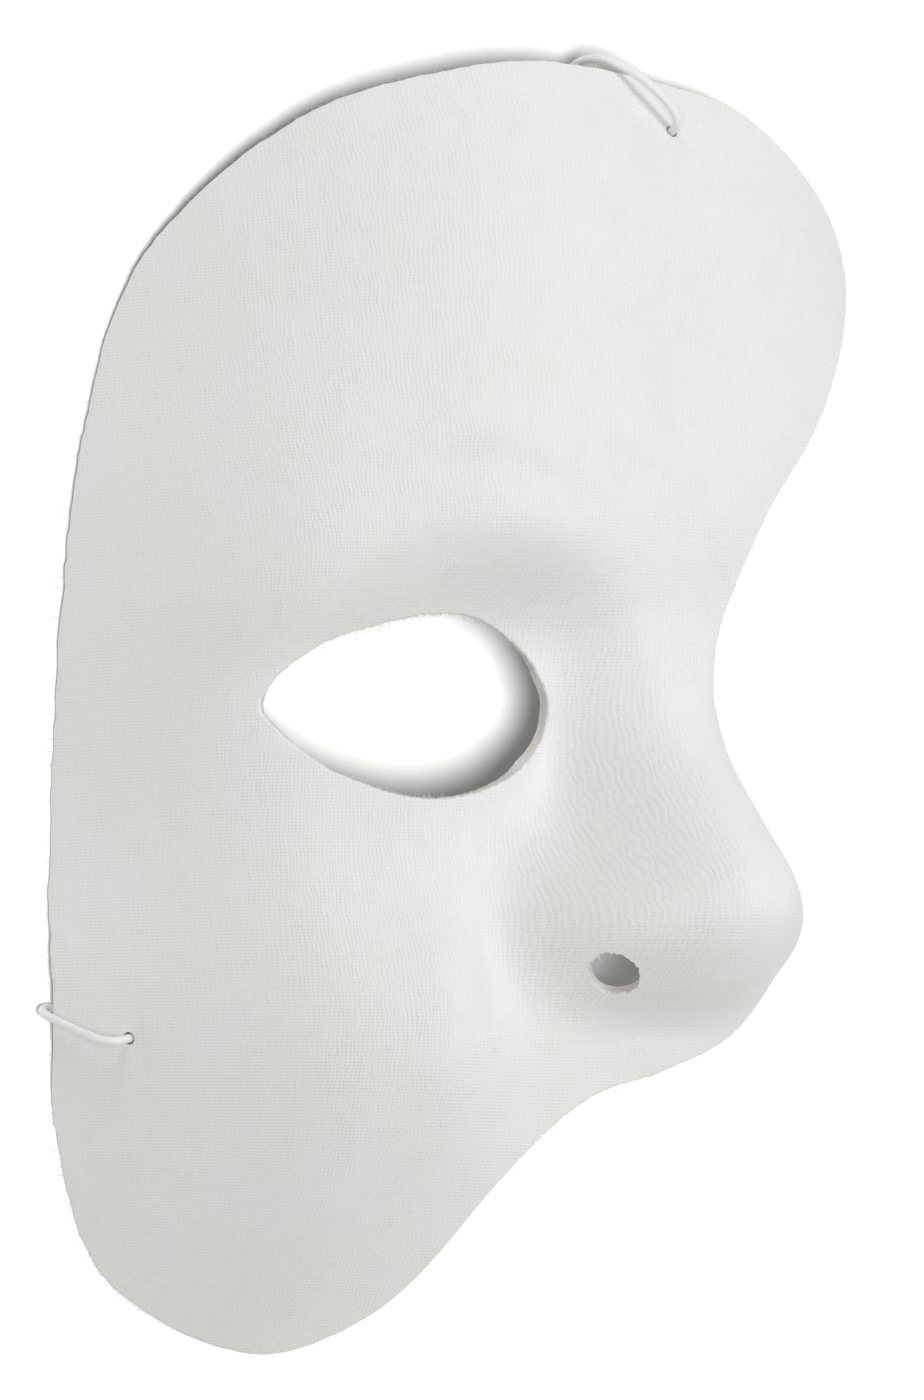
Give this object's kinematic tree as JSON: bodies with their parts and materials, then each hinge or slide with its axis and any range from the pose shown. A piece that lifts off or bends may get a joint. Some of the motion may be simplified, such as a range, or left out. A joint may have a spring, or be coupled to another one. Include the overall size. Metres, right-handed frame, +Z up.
{
  "type": "half-face costume mask",
  "caption": "Blank cloth-covered half-face costume mask with an eye hole and a thin elastic cord, lying face up.",
  "frame": {"origin": "centre of the mask's footprint on the surface it lies on, at the lowest point of its rim", "axes": "+Z up, out of the face; +Y towards the forehead; +X towards the wearer's left"},
  "size_m": [0.1238, 0.1959, 0.0589],
  "materials": {
    "core": "matt",
    "cloth": "fine plain knit",
    "lining": "thin felt",
    "elastic": "braided"
  },
  "bodies": {
    "root": {"mask_core": "core", "face_cloth": "cloth", "lining": "lining", "elastic_cord": "elastic", "upper_knot": "elastic", "lower_knot": "elastic"}
  },
  "joints": []
}
